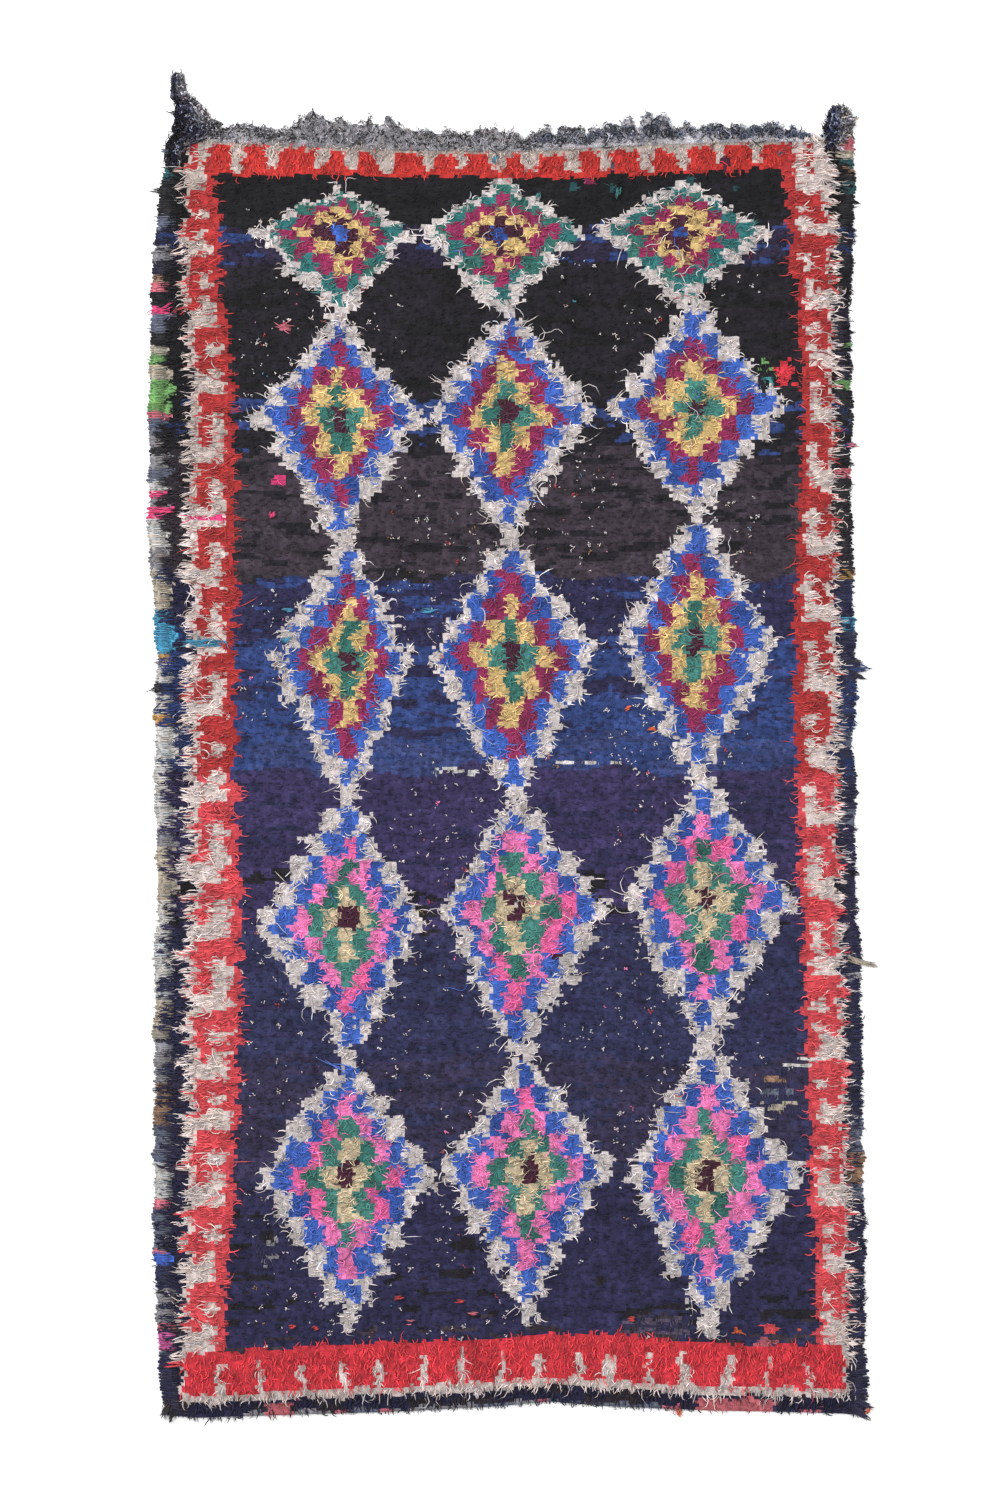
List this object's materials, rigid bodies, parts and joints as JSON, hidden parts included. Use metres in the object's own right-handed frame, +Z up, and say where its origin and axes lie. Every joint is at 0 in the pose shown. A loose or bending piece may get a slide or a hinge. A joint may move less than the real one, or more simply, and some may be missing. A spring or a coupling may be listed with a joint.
{
  "type": "boucherouite rug",
  "caption": "Flat rag-pile rug with stepped lozenges, a notched border, bare selvages and one frayed end with gathered corner tails.",
  "frame": {"origin": "on the floor, under the middle of the rug's outline with its locks, fringe and tails", "axes": "+X across the rug to the picture's right, +Y along it towards the frayed end, +Z up out of the pile"},
  "size_m": [1.384, 2.5702, 0.0269],
  "materials": {
    "rag_pile": "matte",
    "frayed_warp": "matte"
  },
  "bodies": {
    "root": {"rug_cloth": "rag_pile", "top_fringe": "frayed_warp", "corner_tail_left": "frayed_warp", "corner_tail_right": "frayed_warp"}
  },
  "joints": []
}
